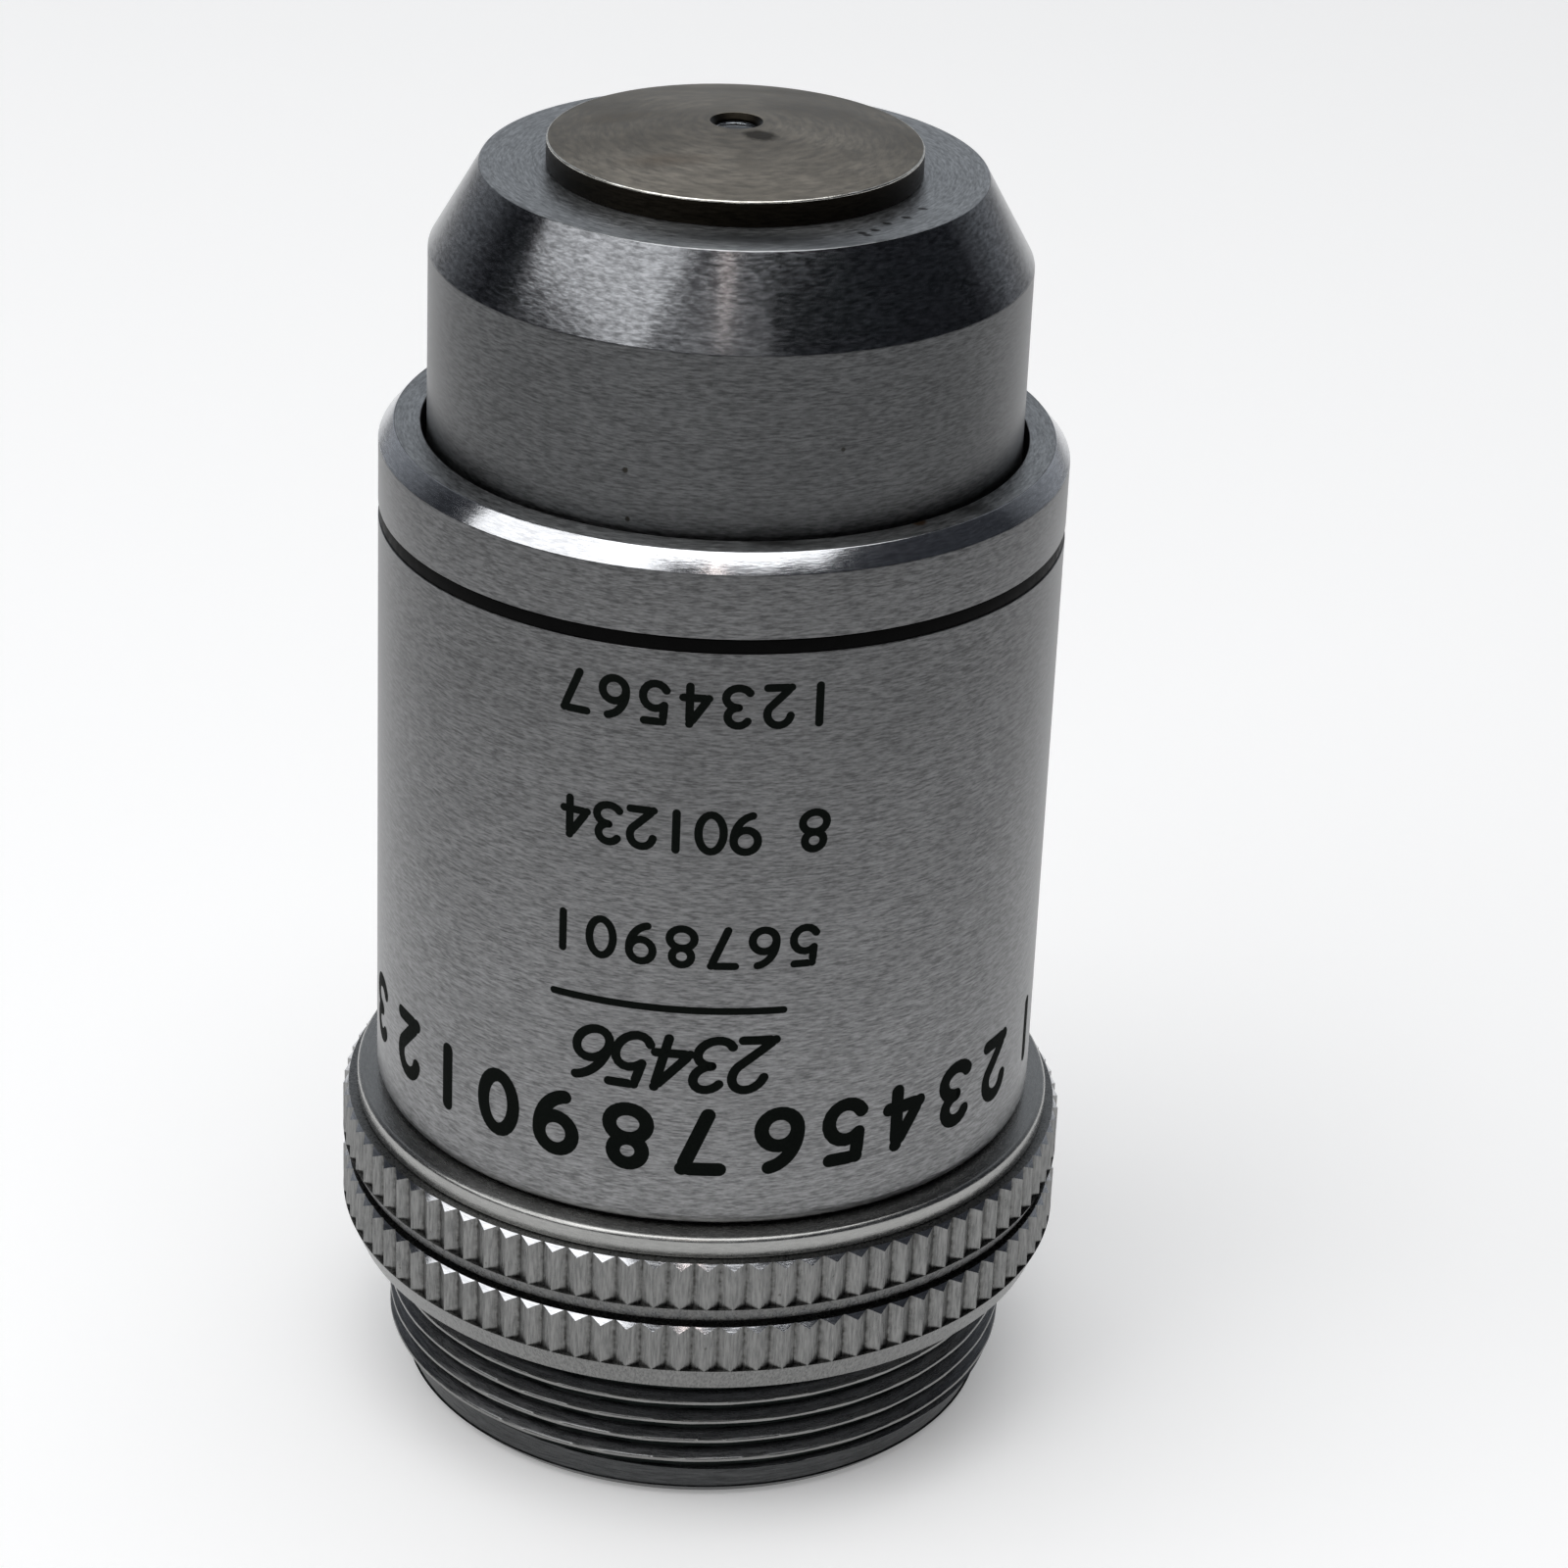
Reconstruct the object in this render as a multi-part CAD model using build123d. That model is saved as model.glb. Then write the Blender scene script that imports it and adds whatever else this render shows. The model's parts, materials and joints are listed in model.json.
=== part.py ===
from build123d import *
import os
from math import acos, cos, degrees, pi, radians, sin, sqrt

# Microscope objective for oil immersion, with a nose that gives way against a spring.
# Millimetres. The origin is the centre of the thread end, and +Z points to the specimen.
# The widest lens sets the radii: each piece around it adds its wall and its clearance.

# Thread mount: the outside of the objective thread, its plain pilot and the knurled flange
thread_d = 20.24
thread_length = 3.30
thread_lead = 0.25
pilot_step = 0.52
pilot_length = 1.25
pilot_chamfer = 0.40
relief_depth = 0.67
relief_length = 0.70
rear_wall = 1.30
rear_bore_depth = 5.00
flange_cone_width = 0.36
flange_cone_height = 0.82
flange_band_height = 1.32
boss_wall = 1.50
boss_height = 4.43
stop_step = 0.35
stop_land_height = 2.93

# Knurl, the same on both bands, and how far it stands out from the barrel
knurl_stand = 1.095
knurl_teeth = 90
knurl_depth = 0.20
knurl_chamfer_width = 0.17
knurl_chamfer_height = 0.18

# Knurled ring between the flange and the collar
ring_seam_height = 0.20
ring_seam_depth = 0.76
ring_cone_width = 0.26
ring_cone_height = 0.52
ring_band_height = 1.37

# Seat collar, which carries the barrel on its spigot
collar_overhang = 0.635
collar_height = 0.69
collar_edge_chamfer = 0.10
collar_foot_chamfer = 0.05
spigot_wall = 0.91
spigot_height = 2.06
spigot_chamfer = 0.15

# Outer barrel
barrel_wall = 0.715
barrel_length = 22.26
barrel_foot_round = 0.40
barrel_foot_gap = 0.06
barrel_foot_flat = 0.115
barrel_chamfer_width = 0.46
barrel_chamfer_height = 0.54
barrel_lip_height = 1.60
barrel_lip_chamfer = 0.10
band_width = 0.46
band_depth = 0.25
band_below_front = 2.55
band_recess = 0.03

# Nose
nose_cone_width = 1.49
nose_cone_height = 2.62
nose_reach = 8.19
nose_wall = 2.60
nose_flange_width = 0.68
nose_flange_height = 2.00
nose_flange_chamfer = 0.15
nose_travel = 2.50
travel_gap = 0.05

# Lens tube, which slides with the nose
tube_wall = 0.95
tube_neck_ledge = 1.10
tube_neck_height = 2.20
tube_collar_width = 1.25
tube_collar_height = 1.20
tube_collar_gap = 1.30

# Guide ring and the pin that keeps the nose from turning
guide_height = 3.00
guide_pin_d = 1.00
guide_pin_length = 2.10
guide_pin_tip_gap = 0.10
keyway_depth = 0.35
keyway_side_gap = 0.05
keyway_end_gap = 0.30

# Spring and its seat
seat_thickness = 0.50
spring_wire_d = 0.90
spring_inset = 0.15
spring_turns = 4.5
spring_wire_sides = 6

# Front cell and front lens
front_disc_overhang = 0.73
front_disc_height = 0.78
front_disc_chamfer = 0.07
front_cone_height = 0.63
front_tip_d = 1.60
front_shank_wall = 1.00
front_shank_end_gap = 0.40
front_window_d = 1.24
front_lens_ball_d = 2.00
front_lens_grip = 0.25
front_lens_flat_d = 1.28

# Lens cells: each has a ledge below its glass, and the widest glass sets their outside
cell_wall = 1.86
cell_ledge_width = 0.35
cell_ledge_height = 0.50

# Meniscus behind the front lens: concave to the specimen
meniscus_d = 5.80
meniscus_cell_height = 2.80
meniscus_lip_height = 0.25
meniscus_lip_width = 0.15
meniscus_front_radius = 5.00
meniscus_rear_radius = 4.20

# First doublet
doublet_a_d = 7.40
doublet_a_cell_height = 4.40
doublet_a_front_radius = 9.00
doublet_a_cement_radius = 6.00
doublet_a_crown_edge = 1.50

# Second doublet
doublet_b_d = 8.20
doublet_b_cell_height = 5.00
doublet_b_front_radius = 12.00
doublet_b_cement_radius = 6.50
doublet_b_crown_edge = 1.60

# Rear doublet
rear_d = 7.80
rear_cell_height = 4.40
rear_front_radius = 16.00
rear_cement_radius = 8.00
rear_crown_edge = 1.40

# Spacers, stop and retaining ring
spacer_a_height = 1.40
spacer_b_height = 1.60
spacer_c_height = 2.00
stop_thickness = 0.60
stop_hole_d = 5.20
stop_bevel = 0.40
retainer_height = 1.40
retainer_wall = 1.58
retainer_slot_width = 1.20
retainer_slot_depth = 0.70

# Radial clearances
screw_gap = 0.02
slide_gap = 0.07
nose_gap = 0.18
tube_gap = 0.45
glass_gap = 0.02
cement_gap = 0.01
spring_seat_gap = 0.10

# Heights worked out from the sizes above, from the thread end up
thread_top = pilot_length + thread_length
shoulder_z = thread_top + relief_length
flange_band_z = shoulder_z + flange_cone_height
flange_top = flange_band_z + flange_band_height + knurl_chamfer_height
boss_top = flange_top + boss_height
ring_foot_z = flange_top + ring_seam_height
ring_band_z = ring_foot_z + ring_cone_height
ring_top = ring_band_z + ring_band_height + knurl_chamfer_height
collar_top = ring_top + collar_height
barrel_front = collar_top + barrel_length
stop_z = barrel_front - barrel_lip_height
nose_face = barrel_front + nose_reach
nose_shoulder = nose_face - nose_wall
disc_top = nose_face + front_disc_height
tip_z = disc_top + front_cone_height

# Heights on the lens tube and the spring
tube_front = nose_shoulder
tube_neck = tube_front - tube_neck_height
travel_stop_z = rear_bore_depth + stop_land_height
tube_rear = travel_stop_z + travel_gap + nose_travel
nose_flange_foot = stop_z - nose_flange_height
tube_collar_top = nose_flange_foot - tube_collar_gap
guide_top = tube_collar_top - tube_collar_height
guide_foot = guide_top - guide_height
spring_foot = boss_top + seat_thickness
shank_foot = tube_neck + front_shank_end_gap

# Heights of the lens stack, each piece on the one behind it
meniscus_foot = tube_neck - meniscus_cell_height
spacer_a_foot = meniscus_foot - spacer_a_height
doublet_a_foot = spacer_a_foot - doublet_a_cell_height
spacer_b_foot = doublet_a_foot - spacer_b_height
doublet_b_foot = spacer_b_foot - doublet_b_cell_height
spacer_c_foot = doublet_b_foot - spacer_c_height
rear_foot = spacer_c_foot - rear_cell_height
stop_foot = rear_foot - stop_thickness
retainer_foot = stop_foot - retainer_height

# Radii of the pieces that fit in one another, from the widest lens outwards
cell_r = doublet_b_d / 2 + glass_gap + cell_wall
tube_bore_r = cell_r + screw_gap
tube_r = tube_bore_r + tube_wall
tube_fit_r = tube_r + screw_gap
boss_bore_r = tube_r + tube_gap
boss_r = boss_bore_r + boss_wall
boss_fit_r = boss_r + screw_gap
spigot_r = boss_fit_r + spigot_wall
barrel_bore_r = spigot_r + screw_gap
barrel_r = barrel_bore_r + barrel_wall
knurl_r = barrel_r + knurl_stand
piston_r = barrel_bore_r - slide_gap
nose_r = piston_r - nose_flange_width
nose_face_r = nose_r - nose_cone_width
shank_r = tube_bore_r - tube_neck_ledge
shank_fit_r = shank_r + screw_gap
disc_r = shank_r + front_disc_overhang
thread_r = thread_d / 2
pilot_r = thread_r - pilot_step
rear_bore_r = pilot_r - rear_wall
groove_floor_r = barrel_r - band_depth
keyway_floor_r = barrel_bore_r + keyway_depth
guide_pin_tip_r = keyway_floor_r - guide_pin_tip_gap


def turned(*outline):
    """Turns a closed outline of (radius, height) points and ready edges around the Z axis."""
    edges = []
    for here, after in zip(outline, outline[1:] + outline[:1]):
        if isinstance(here, Edge):
            edges.append(here)
        start = here @ 1 if isinstance(here, Edge) else Vector(*here)
        end = after @ 0 if isinstance(after, Edge) else Vector(*after)
        if (end - start).length > 1e-6:
            edges.append(Line(start, end).edge())
    face = make_face(Plane.XZ * Curve(edges))
    return revolve(face, Axis.Z)


def arc_about(centre, radius, start_angle, end_angle):
    """An arc in the (radius, height) plane, with angles in degrees from the radial direction."""
    points = []
    for share in (0, 0.5, 1):
        angle = radians(start_angle + share * (end_angle - start_angle))
        points.append((centre[0] + radius * cos(angle), centre[1] + radius * sin(angle)))
    return ThreePointArc(*points).edge()


def ring(inner_r, outer_r, foot, top):
    """A plain ring."""
    return turned((inner_r, foot), (outer_r, foot), (outer_r, top), (inner_r, top))


def sag(radius, height):
    """How far a spherical surface falls away at a height above the optical axis."""
    return radius - sqrt(radius**2 - height**2)


def knurled(blank, foot, top):
    """Cuts straight V grooves all around a turned blank, between two heights."""
    root_r = knurl_r - knurl_depth
    step = 2 * pi / knurl_teeth
    outline = []
    for tooth in range(knurl_teeth):
        for radius, angle in ((knurl_r, tooth * step), (root_r, (tooth + 0.5) * step)):
            outline.append((radius * cos(angle), radius * sin(angle)))
    prism = extrude(make_face(Polyline(*outline, close=True)), top - foot)
    return blank & (Pos(0, 0, foot) * prism)


def thread_mount():
    """The flange with its thread below and the boss above; a step in its bore stops the lens tube."""
    blank = turned(
        (rear_bore_r, 0),
        (pilot_r - pilot_chamfer, 0),
        (pilot_r, pilot_chamfer),
        (pilot_r, pilot_length),
        (thread_r - thread_lead, pilot_length),
        (thread_r, pilot_length + thread_lead),
        (thread_r, thread_top),
        (thread_r - relief_depth, thread_top),
        (thread_r - relief_depth, shoulder_z),
        (knurl_r - flange_cone_width, shoulder_z),
        (knurl_r, flange_band_z),
        (knurl_r, flange_band_z + flange_band_height),
        (knurl_r - knurl_chamfer_width, flange_top),
        (boss_r, flange_top),
        (boss_r, boss_top),
        (boss_bore_r, boss_top),
        (boss_bore_r, travel_stop_z),
        (tube_r - stop_step, travel_stop_z),
        (tube_r - stop_step, rear_bore_depth),
        (rear_bore_r, rear_bore_depth),
    )
    return knurled(blank, 0, boss_top)


def knurled_ring():
    """The upper knurled band, with a narrow dark seam left under its rim."""
    blank = turned(
        (boss_fit_r, flange_top),
        (knurl_r - ring_seam_depth, flange_top),
        (knurl_r - ring_seam_depth, ring_foot_z),
        (knurl_r - ring_cone_width, ring_foot_z),
        (knurl_r, ring_band_z),
        (knurl_r, ring_band_z + ring_band_height),
        (knurl_r - knurl_chamfer_width, ring_top),
        (boss_fit_r, ring_top),
    )
    return knurled(blank, flange_top, ring_top)


def seat_collar():
    """The plain lip, and the spigot that the barrel screws on to."""
    lip_r = barrel_r + collar_overhang
    return turned(
        (boss_fit_r, ring_top),
        (lip_r - collar_foot_chamfer, ring_top),
        (lip_r, ring_top + collar_foot_chamfer),
        (lip_r, collar_top - collar_edge_chamfer),
        (lip_r - collar_edge_chamfer, collar_top),
        (spigot_r, collar_top),
        (spigot_r, collar_top + spigot_height - spigot_chamfer),
        (spigot_r - spigot_chamfer, collar_top + spigot_height),
        (boss_fit_r, collar_top + spigot_height),
    )


def outer_barrel():
    """The sleeve: rounded foot, paint groove, front chamfer and the lip that stops the nose."""
    lip_r = nose_r + nose_gap
    foot_z = collar_top + barrel_foot_gap
    foot_centre_r = barrel_r - barrel_foot_round
    groove_top = barrel_front - band_below_front
    foot_arc = arc_about((foot_centre_r, foot_z + barrel_foot_round), barrel_foot_round, -90, 0)
    sleeve = turned(
        (barrel_bore_r, collar_top),
        (foot_centre_r - barrel_foot_flat, collar_top),
        (foot_centre_r - barrel_foot_flat, foot_z),
        foot_arc,
        (barrel_r, groove_top - band_width),
        (groove_floor_r, groove_top - band_width),
        (groove_floor_r, groove_top),
        (barrel_r, groove_top),
        (barrel_r, barrel_front - barrel_chamfer_height),
        (barrel_r - barrel_chamfer_width, barrel_front),
        (lip_r + barrel_lip_chamfer, barrel_front),
        (lip_r, barrel_front - barrel_lip_chamfer),
        (lip_r, stop_z),
        (barrel_bore_r, stop_z),
    )
    keyway_top = guide_top - guide_height / 2 + guide_pin_d / 2 + keyway_end_gap
    keyway = Box(
        guide_pin_d + 2 * keyway_side_gap,
        keyway_floor_r,
        keyway_top - collar_top,
        align=(Align.CENTER, Align.MIN, Align.MIN),
    )
    return sleeve - Pos(0, 0, collar_top) * keyway


def immersion_ring():
    """The coloured enamel that fills the groove of the barrel."""
    groove_top = barrel_front - band_below_front
    return ring(groove_floor_r, barrel_r - band_recess, groove_top - band_width, groove_top)


def spring_seat():
    """The washer under the spring."""
    return ring(boss_bore_r + spring_seat_gap, boss_r - spring_seat_gap, boss_top, spring_foot)


def compression_spring():
    """A coil spring with its ends ground flat, its wire drawn with six flats."""
    mean_r = boss_r - spring_inset - spring_wire_d / 2
    length = guide_foot - spring_foot
    helix = Helix(length / spring_turns, length + 2 * spring_wire_d, mean_r)
    across = Plane(origin=helix @ 0, x_dir=(1, 0, 0), z_dir=helix % 0)
    section = across * RegularPolygon(spring_wire_d / 2, spring_wire_sides)
    coil = Pos(0, 0, spring_foot - spring_wire_d) * sweep(section, path=helix, is_frenet=True)
    ground = ring(mean_r - spring_wire_d, mean_r + spring_wire_d, spring_foot, guide_foot)
    return coil & ground


def nose_sleeve():
    """The nose: a stop flange inside the barrel, the running cylinder, the cone and the face."""
    return turned(
        (tube_fit_r, nose_flange_foot),
        (piston_r - nose_flange_chamfer, nose_flange_foot),
        (piston_r, nose_flange_foot + nose_flange_chamfer),
        (piston_r, stop_z),
        (nose_r, stop_z),
        (nose_r, nose_face - nose_cone_height),
        (nose_face_r, nose_face),
        (shank_fit_r, nose_face),
        (shank_fit_r, nose_shoulder),
        (tube_fit_r, nose_shoulder),
    )


def lens_tube():
    """The tube that holds the lens stack, with a neck at the front and a collar for the guide ring."""
    return turned(
        (tube_bore_r, tube_rear),
        (tube_r, tube_rear),
        (tube_r, guide_top),
        (tube_r + tube_collar_width, guide_top),
        (tube_r + tube_collar_width, tube_collar_top),
        (tube_r, tube_collar_top),
        (tube_r, tube_front),
        (shank_fit_r, tube_front),
        (shank_fit_r, tube_neck),
        (tube_bore_r, tube_neck),
    )


def guide_pin_at(radius):
    """A radial pin of the given radius at its place in the guide ring, on the +Y side."""
    middle = guide_foot + guide_height / 2
    pin = Cylinder(radius, guide_pin_length, align=(Align.CENTER, Align.CENTER, Align.MAX))
    return Pos(0, guide_pin_tip_r, middle) * (Rot(-90, 0, 0) * pin)


def guide_ring():
    """The piston that guides the lens tube in the barrel, with the hole of its pin."""
    return ring(tube_fit_r, piston_r, guide_foot, guide_top) - guide_pin_at(guide_pin_d / 2 + cement_gap)


def guide_pin():
    """The pin that runs in the keyway of the barrel."""
    return guide_pin_at(guide_pin_d / 2)


def front_seat():
    """The pocket of the front lens: window radius, window height, pocket radius, ball centre."""
    window_r = front_window_d / 2
    window_z = tip_z - (front_tip_d / 2 - window_r)
    pocket_r = front_lens_ball_d / 2 + cement_gap
    return window_r, window_z, pocket_r, window_z - sqrt(pocket_r**2 - window_r**2)


def front_cell():
    """The disc at the tip, with a countersunk window, a seat for the front lens and a shank."""
    window_r, window_z, pocket_r, centre_z = front_seat()
    pocket = arc_about((0, centre_z), pocket_r, degrees(acos(window_r / pocket_r)), 0)
    return turned(
        pocket,
        (pocket_r, centre_z - front_lens_grip),
        (shank_r - front_shank_wall, shank_foot),
        (shank_r, shank_foot),
        (shank_r, nose_face),
        (disc_r, nose_face),
        (disc_r, disc_top - front_disc_chamfer),
        (disc_r - front_disc_chamfer, disc_top),
        (front_tip_d / 2, tip_z),
    )


def front_lens():
    """The front lens: a tiny ball with a flat ground on the side of the specimen."""
    centre_z = front_seat()[3]
    ball_r = front_lens_ball_d / 2
    flat_r = front_lens_flat_d / 2
    ball = arc_about((0, centre_z), ball_r, -90, degrees(acos(flat_r / ball_r)))
    return turned(ball, (0, centre_z + sqrt(ball_r**2 - flat_r**2)))


def dome(lens_r, rim_z, radius):
    """Half of a spherical face, from its rim to the axis; a negative radius puts its middle below."""
    side = 1 if radius > 0 else -1
    centre_z = rim_z - side * (abs(radius) - sag(abs(radius), lens_r))
    halfway = lens_r / 2
    return ThreePointArc(
        (lens_r, rim_z),
        (halfway, centre_z + side * sqrt(radius**2 - halfway**2)),
        (0, centre_z + side * abs(radius)),
    ).edge()


def lens(lower, upper):
    """A lens between two faces, each drawn from its rim to the axis."""
    edges = [lower, Line(lower @ 0, upper @ 0).edge(), upper, Line(upper @ 1, lower @ 1).edge()]
    return revolve(make_face(Plane.XZ * Curve(edges)), Axis.Z)


def seat_allowance(radius, lens_r, seat_r):
    """How far a convex face reaches past its rim where it touches a seat inside that rim."""
    return sag(radius, lens_r) - sag(radius, seat_r) + glass_gap


def cell(lens_d, foot, top):
    """A lens cell: a ring with a bore for the glass and a ledge at its rear end."""
    bore_r = lens_d / 2 + glass_gap
    ledge_r = lens_d / 2 - cell_ledge_width
    return turned(
        (ledge_r, foot),
        (cell_r, foot),
        (cell_r, top),
        (bore_r, top),
        (bore_r, foot + cell_ledge_height),
        (ledge_r, foot + cell_ledge_height),
    )


def meniscus_cell():
    """The cell of the meniscus, whose front edge is turned in over the glass."""
    bore_r = meniscus_d / 2 + glass_gap
    ledge_r = meniscus_d / 2 - cell_ledge_width
    lip_r = meniscus_d / 2 - meniscus_lip_width
    return turned(
        (ledge_r, meniscus_foot),
        (cell_r, meniscus_foot),
        (cell_r, tube_neck),
        (lip_r, tube_neck),
        (lip_r, tube_neck - meniscus_lip_height),
        (bore_r, tube_neck - meniscus_lip_height),
        (bore_r, meniscus_foot + cell_ledge_height),
        (ledge_r, meniscus_foot + cell_ledge_height),
    )


def meniscus_lens():
    """The meniscus, with its hollow face to the specimen."""
    lens_r = meniscus_d / 2
    raised = seat_allowance(meniscus_rear_radius, lens_r, lens_r - cell_ledge_width)
    rear = dome(lens_r, meniscus_foot + cell_ledge_height + raised, -meniscus_rear_radius)
    front = dome(lens_r, tube_neck - meniscus_lip_height - glass_gap, -meniscus_front_radius)
    return lens(rear, front)


def doublet(lens_d, foot, top, front_radius, cement_radius, crown_edge):
    """A cemented pair: a biconvex crown in front of a flint with a flat rear face."""
    lens_r = lens_d / 2
    crown_top = top - seat_allowance(front_radius, lens_r, lens_r - cell_ledge_width)
    joint_z = crown_top - crown_edge
    flint_foot = foot + cell_ledge_height
    crown = lens(dome(lens_r, joint_z, -cement_radius), dome(lens_r, crown_top, front_radius))
    flat = Line((lens_r, flint_foot), (0, flint_foot)).edge()
    flint = lens(flat, dome(lens_r, joint_z - cement_gap, -cement_radius))
    return crown, flint


def spacer(lens_d, foot, top):
    """A spacer that keeps the glass behind it in its cell."""
    return ring(lens_d / 2 - cell_ledge_width, cell_r, foot, top)


def aperture_stop():
    """The stop behind the last lens, bevelled to a thin edge."""
    hole_r = stop_hole_d / 2
    return turned(
        (hole_r + stop_bevel, stop_foot), (cell_r, stop_foot), (cell_r, rear_foot), (hole_r, rear_foot)
    )


def retaining_ring():
    """The screwed ring that locks the stack, with two spanner slots in its rear face."""
    slot = Box(
        retainer_slot_width,
        3 * cell_r,
        retainer_slot_depth,
        align=(Align.CENTER, Align.CENTER, Align.MIN),
    )
    plain = ring(cell_r - retainer_wall, cell_r, retainer_foot, stop_foot)
    return plain - Pos(0, 0, retainer_foot) * slot


doublet_a_crown, doublet_a_flint = doublet(
    doublet_a_d,
    doublet_a_foot,
    spacer_a_foot,
    doublet_a_front_radius,
    doublet_a_cement_radius,
    doublet_a_crown_edge,
)
doublet_b_crown, doublet_b_flint = doublet(
    doublet_b_d,
    doublet_b_foot,
    spacer_b_foot,
    doublet_b_front_radius,
    doublet_b_cement_radius,
    doublet_b_crown_edge,
)
rear_crown, rear_flint = doublet(
    rear_d,
    rear_foot,
    spacer_c_foot,
    rear_front_radius,
    rear_cement_radius,
    rear_crown_edge,
)

pieces = {
    "thread_mount": thread_mount(),
    "knurled_ring": knurled_ring(),
    "seat_collar": seat_collar(),
    "outer_barrel": outer_barrel(),
    "immersion_ring": immersion_ring(),
    "spring_seat": spring_seat(),
    "compression_spring": compression_spring(),
    "nose_sleeve": nose_sleeve(),
    "lens_tube": lens_tube(),
    "guide_ring": guide_ring(),
    "guide_pin": guide_pin(),
    "front_cell": front_cell(),
    "front_lens": front_lens(),
    "meniscus_cell": meniscus_cell(),
    "meniscus_lens": meniscus_lens(),
    "spacer_a": spacer(doublet_a_d, spacer_a_foot, meniscus_foot),
    "doublet_a_cell": cell(doublet_a_d, doublet_a_foot, spacer_a_foot),
    "doublet_a_crown": doublet_a_crown,
    "doublet_a_flint": doublet_a_flint,
    "spacer_b": spacer(doublet_b_d, spacer_b_foot, doublet_a_foot),
    "doublet_b_cell": cell(doublet_b_d, doublet_b_foot, spacer_b_foot),
    "doublet_b_crown": doublet_b_crown,
    "doublet_b_flint": doublet_b_flint,
    "spacer_c": spacer(rear_d, spacer_c_foot, doublet_b_foot),
    "rear_cell": cell(rear_d, rear_foot, spacer_c_foot),
    "rear_crown": rear_crown,
    "rear_flint": rear_flint,
    "aperture_stop": aperture_stop(),
    "retaining_ring": retaining_ring(),
}

os.makedirs("parts", exist_ok=True)
for name, shape in pieces.items():
    export_step(shape, f"parts/{name}.step")
print("overall height", round(tip_z, 2), "shoulder", round(shoulder_z, 2), "nose travel", nose_travel)
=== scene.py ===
import json
from math import asin, cos, pi, radians, sin, sqrt

import bmesh
import bpy
from mathutils import Matrix, Vector


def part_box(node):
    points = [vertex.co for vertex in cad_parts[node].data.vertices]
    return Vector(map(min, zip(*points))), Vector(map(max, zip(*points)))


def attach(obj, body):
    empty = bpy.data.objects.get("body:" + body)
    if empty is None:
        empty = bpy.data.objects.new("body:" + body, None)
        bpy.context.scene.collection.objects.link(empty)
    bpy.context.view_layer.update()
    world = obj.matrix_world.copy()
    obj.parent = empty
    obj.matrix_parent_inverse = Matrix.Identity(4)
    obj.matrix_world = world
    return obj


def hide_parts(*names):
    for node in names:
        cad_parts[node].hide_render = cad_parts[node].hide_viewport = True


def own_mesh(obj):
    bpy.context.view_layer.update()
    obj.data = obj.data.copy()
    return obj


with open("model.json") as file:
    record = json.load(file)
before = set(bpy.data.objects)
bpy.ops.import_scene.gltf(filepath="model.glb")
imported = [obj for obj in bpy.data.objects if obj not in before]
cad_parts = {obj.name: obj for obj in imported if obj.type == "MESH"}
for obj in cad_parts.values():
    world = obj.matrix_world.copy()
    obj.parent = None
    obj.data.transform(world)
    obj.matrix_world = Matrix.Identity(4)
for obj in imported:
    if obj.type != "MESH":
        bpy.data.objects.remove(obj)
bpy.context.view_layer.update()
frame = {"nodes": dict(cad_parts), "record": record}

scene = bpy.context.scene
scene.view_settings.view_transform = "Standard"

# Lengths are in millimetres up to the point where a mesh, lamp or camera is made.
MM = 0.001

# Camera: a square frame, aimed down at the front of the objective
frame_px = 1600
focal_px = 4717.5
sensor_width = 36.0
camera_distance = 131.854
camera_height = 84.352
camera_pitch = 25.795
camera_yaw = 0.986
camera_roll = 2.525
camera_clip = 5.0

# Stage
floor_half = 3000.0
floor_glow = 0.24
lamp_target_z = 20.0

# Meshes
columns_round = 360
corner_steps = 3
arc_steps = 8
weld_gap = 0.002
test_margin = 0.02


def extent(node):
    """Outer radius, foot and top of a CAD node."""
    low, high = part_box(node)
    return high.x / MM, low.z / MM, high.z / MM


knurl_r, flange_top, ring_top = extent("knurled_ring")
boss_top = extent("thread_mount")[2]
collar_r, collar_foot, spigot_top = extent("seat_collar")
barrel_r, collar_top, barrel_front = extent("outer_barrel")
enamel_r, groove_foot, groove_top = extent("immersion_ring")
piston_r, nose_flange_foot, nose_face = extent("nose_sleeve")
disc_r, shank_foot, tip_z = extent("front_cell")
spring_r, spring_foot, spring_top = extent("compression_spring")
pin_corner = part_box("guide_pin")[1] / MM

# Thread mount; the height of the first crest is the one on the -Y side
thread_r = 10.12
thread_pitch = 0.7056
thread_depth = 0.40
thread_crest = 0.10
thread_root = 0.16
thread_foot = 1.25
thread_top = 4.55
thread_lead = 0.25
thread_first_crest = 1.75
thread_row = 0.03
quarter_turn = 0.25
pilot_r = 9.60
pilot_chamfer = 0.40
pilot_edge = 0.08
# Painted shade on the plain pilot below the thread: it is coloured like a point low on a flank.
pilot_shade = 0.24
relief_r = 9.45
shoulder_z = 5.25
rear_bore_r = 8.30
rear_bore_top = 5.00
rear_bore_edge = 0.05
stop_bore_r = 6.60
stop_top = 7.93
boss_bore_r = 7.40
boss_r = 8.90
flange_foot_r = 11.30
flange_band_z = 6.07

# Knurl; the columns of a tooth are shares of it, crest at 0 and root at 0.5
knurl_teeth = 90
knurl_depth = 0.20
knurl_rim_r = 11.49
knurl_rim_drop = 0.18
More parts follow.
